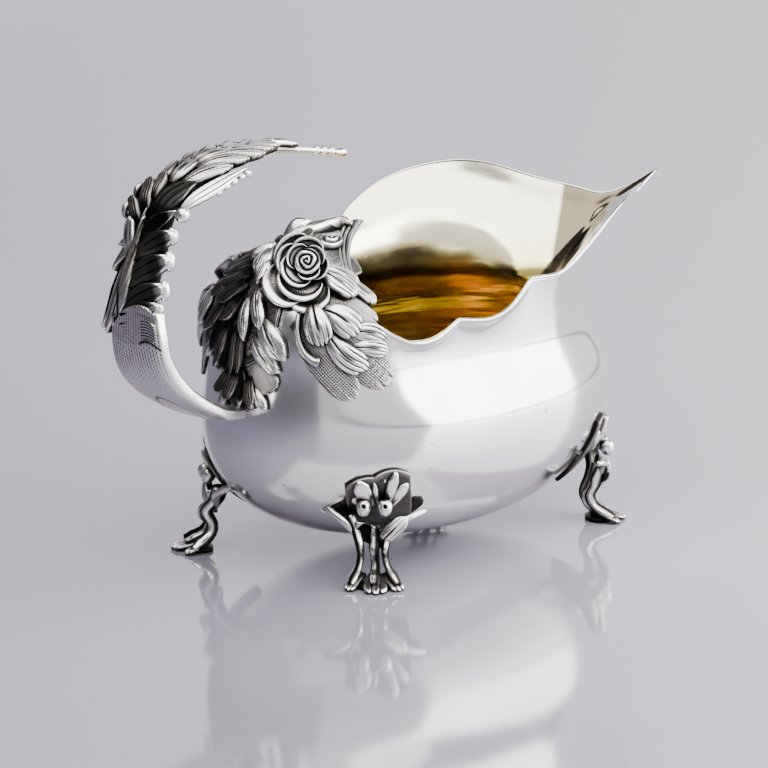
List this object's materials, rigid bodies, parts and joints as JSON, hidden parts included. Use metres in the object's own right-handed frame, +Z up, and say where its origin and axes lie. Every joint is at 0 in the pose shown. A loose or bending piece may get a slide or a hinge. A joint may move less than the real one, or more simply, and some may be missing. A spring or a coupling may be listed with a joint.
{
  "type": "footed sauce boat",
  "caption": "Footed silver sauce boat with pointed spout, shaped rim, gilt inside, cast floral hood with rose, flying acanthus handle and cabriole leaf legs",
  "frame": {"origin": "on the table, under the middle of the overall box", "axes": "+X to the spout, +Y to the left side, +Z up; the handle is at -X"},
  "size_m": [0.2219, 0.088, 0.1162],
  "materials": {
    "polished_silver": "hand-polished silver with fine scratches and faint tarnish",
    "matted_silver": "satin silver with punched lines",
    "oxidised_silver": "cast and chased silver, blackened in the recesses, bright on the edges",
    "gilt": "bright fire gilding, pale on the lip and deep gold in the bowl"
  },
  "bodies": {
    "root": {"bowl": "polished_silver", "gilt_lining": "gilt", "rim_wire": "polished_silver", "handle_strap": "matted_silver", "handle_acanthus": "oxidised_silver", "handle_leaf_spray": "oxidised_silver", "handle_tip": "oxidised_silver", "handle_root_leaf": "oxidised_silver", "mount_right": "oxidised_silver", "mount_left": "oxidised_silver", "rear_plume": "oxidised_silver", "hood_crest": "oxidised_silver", "rose": "oxidised_silver", "rim_leaves_right": "oxidised_silver", "rim_leaves_left": "oxidised_silver", "leg_rear_right": "oxidised_silver", "leg_rear_left": "oxidised_silver", "leg_front_right": "oxidised_silver", "leg_front_left": "oxidised_silver", "leg_leaf_rear_right": "oxidised_silver", "leg_leaf_rear_left": "oxidised_silver", "leg_leaf_front_right": "oxidised_silver", "leg_leaf_front_left": "oxidised_silver", "berries_rear_right": "oxidised_silver", "berries_rear_left": "oxidised_silver", "berries_front_right": "oxidised_silver", "berries_front_left": "oxidised_silver"}
  },
  "joints": []
}
